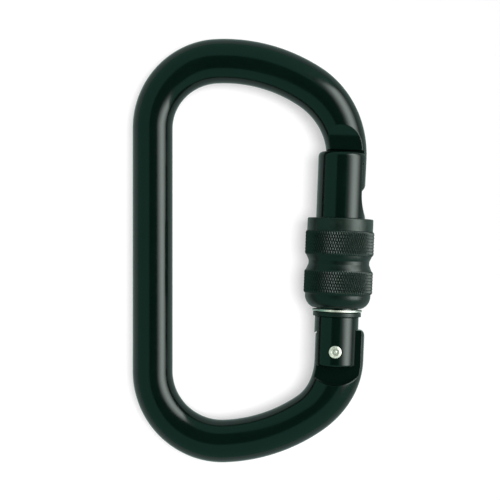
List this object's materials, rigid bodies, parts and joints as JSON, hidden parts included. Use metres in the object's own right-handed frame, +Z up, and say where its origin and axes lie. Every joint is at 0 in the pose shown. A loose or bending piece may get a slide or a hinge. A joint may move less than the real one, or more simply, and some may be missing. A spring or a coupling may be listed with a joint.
{
  "type": "locking carabiner",
  "caption": "Offset D carabiner of round aluminium rod with a sprung key-lock gate and a knurled screw sleeve that slides up over the nose.",
  "frame": {"origin": "centre of the bounding box at the level of the surface it lies on, the underside of the sleeve", "axes": "+Y along the spine towards the nose, +X from the spine to the gate, +Z up out of the face it shows when it lies on its side"},
  "size_m": [0.063, 0.1101, 0.0178],
  "materials": {
    "black_anodised": "glossy black anodised aluminium with a faint green cast",
    "black_sleeve": "satin black anodised aluminium, knurled",
    "stainless": "bright polished stainless steel",
    "spring_steel": "drawn spring steel",
    "polymer": "dark acetal"
  },
  "bodies": {
    "frame": {"frame": "black_anodised"},
    "gate": {"gate_barrel": "black_anodised", "hinge_rivet": "stainless", "gate_spring": "spring_steel", "retaining_collar": "black_anodised", "thrust_washer": "stainless"},
    "plunger": {"spring_plunger": "stainless"},
    "sleeve_carrier": {"drag_ring": "polymer"},
    "sleeve": {"lock_sleeve": "black_sleeve"}
  },
  "joints": [
    {"name": "gate_swing", "type": "hinge", "parent": "frame", "child": "gate", "pos_m": [0.0214, -0.0258, 0.0089], "axis": [0, 0, 1], "range_deg": [0, 28], "stiffness_Nm_per_rad": 0.3, "springref_deg": -28.65},
    {"name": "plunger_travel", "type": "slide", "parent": "gate", "child": "plunger", "axis": [0.0384, 0.9993, 0], "range_m": [0, 0.0012], "deforming": ["gate_spring"]},
    {"name": "sleeve_travel", "type": "slide", "parent": "gate", "child": "sleeve_carrier", "axis": [0.0384, 0.9993, 0], "range_m": [0, 0.012]},
    {"name": "sleeve_turn", "type": "hinge", "parent": "sleeve_carrier", "child": "sleeve", "pos_m": [0.0214, -0.0258, 0.0089], "axis": [0.0384, 0.9993, 0], "range_deg": [0, 2160]}
  ],
  "couplings": [
    {"joint": "plunger_travel", "follows": "gate_swing", "m_per_rad": 0.00245},
    {"joint": "sleeve_turn", "follows": "sleeve_travel", "rad_per_m": 3141.6}
  ]
}
